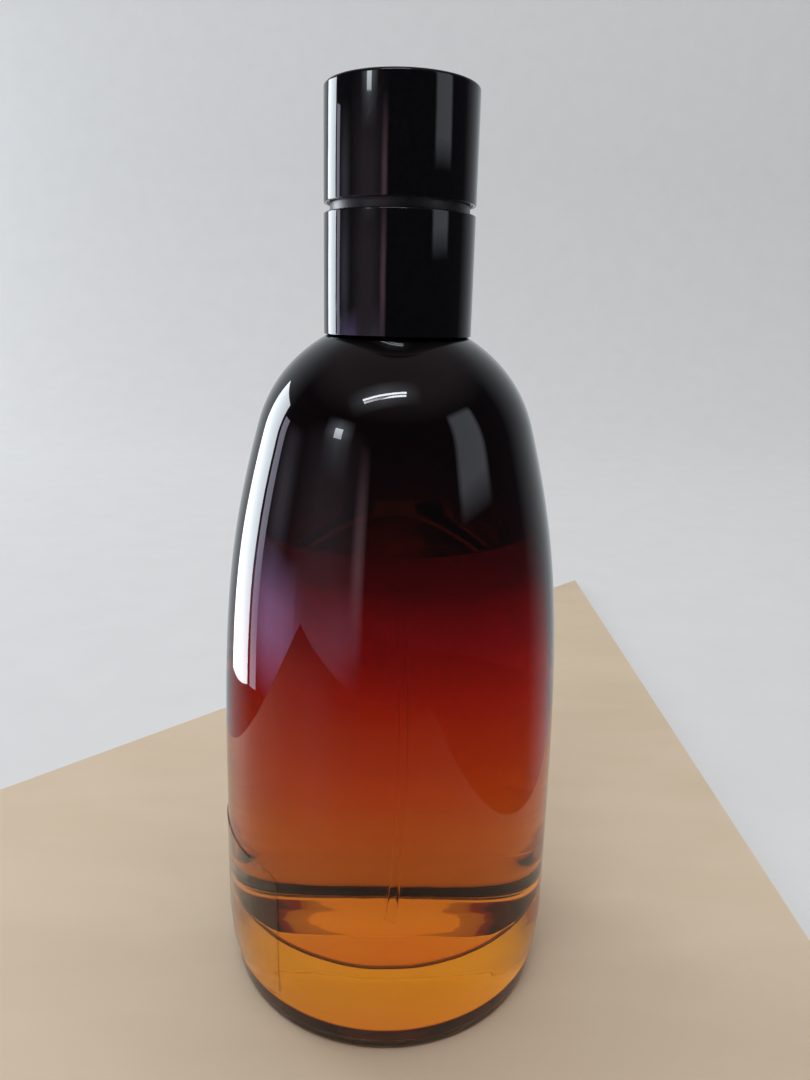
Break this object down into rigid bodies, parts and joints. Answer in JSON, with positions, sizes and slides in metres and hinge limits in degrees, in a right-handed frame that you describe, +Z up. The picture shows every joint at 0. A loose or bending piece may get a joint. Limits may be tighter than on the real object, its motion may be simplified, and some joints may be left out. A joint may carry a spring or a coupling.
{
  "type": "aftershave bottle",
  "caption": "Round-shouldered glass spray bottle, lacquered black to amber, with crimped pump, press button, tall collar and pull-off cap.",
  "frame": {"origin": "centre of the base, on the surface that the bottle stands on", "axes": "+Z up along the bottle's axis of revolution; -Y is the front, where the spray nozzle points; +X is to the right seen from the front"},
  "size_m": [0.0551, 0.055, 0.14],
  "materials": {
    "lacquered_glass": "clear flint glass with a transparent lacquer that fades from clear amber at the base through red to near black at the shoulder",
    "aftershave": "clear pale amber liquid",
    "clear_film": "thin clear adhesive film, unprinted",
    "gasket_rubber": "matt",
    "ferrule_aluminium": "bright rolled",
    "white_polypropylene": "satin moulded",
    "spring_steel": "bright drawn wire",
    "clear_polyethylene": "translucent extruded",
    "valve_ball": "polished ball",
    "natural_polypropylene": "satin moulded",
    "black_polypropylene": "satin moulded",
    "button_metal": "gloss black over aluminium",
    "nozzle_acetal": "smooth moulded black acetal",
    "gloss_black_metal": "high-gloss black lacquer over drawn aluminium",
    "weight_steel": "stamped"
  },
  "bodies": {
    "bottle": {"glass_bottle": "lacquered_glass", "aftershave_fill": "aftershave", "rear_label": "clear_film", "neck_gasket": "gasket_rubber", "crimp_ferrule": "ferrule_aluminium", "pump_housing": "white_polypropylene", "pump_turret": "white_polypropylene", "return_spring": "spring_steel", "dip_tube": "clear_polyethylene", "collar_shell": "gloss_black_metal", "collar_insert": "black_polypropylene"},
    "stem": {"pump_stem": "natural_polypropylene", "pump_piston": "natural_polypropylene"},
    "button": {"button_core": "black_polypropylene", "button_shell": "button_metal", "nozzle_insert": "nozzle_acetal"},
    "cap": {"cap_shell": "gloss_black_metal", "cap_liner": "black_polypropylene", "cap_weight": "weight_steel"},
    "inlet_valve": {"inlet_ball": "valve_ball"},
    "outlet_valve": {"outlet_ball": "valve_ball"}
  },
  "joints": [
    {"name": "pump_stroke", "type": "slide", "parent": "bottle", "child": "stem", "axis": [0, 0, -1], "range_m": [0, 0.004], "stiffness_N_per_m": 1800, "springref_m": -0.004, "deforming": ["return_spring"]},
    {"name": "button_turn", "type": "hinge", "parent": "stem", "child": "button", "pos_m": [0, 0, 0.128], "axis": [0, 0, 1], "continuous": true},
    {"name": "cap_lift", "type": "slide", "parent": "bottle", "child": "cap", "axis": [0, 0, 1], "range_m": [0, 0.03]},
    {"name": "inlet_ball_lift", "type": "slide", "parent": "bottle", "child": "inlet_valve", "axis": [0, 0, 1], "range_m": [0, 0.0006]},
    {"name": "outlet_ball_lift", "type": "slide", "parent": "stem", "child": "outlet_valve", "axis": [0, 0, 1], "range_m": [0, 0.0004]}
  ]
}
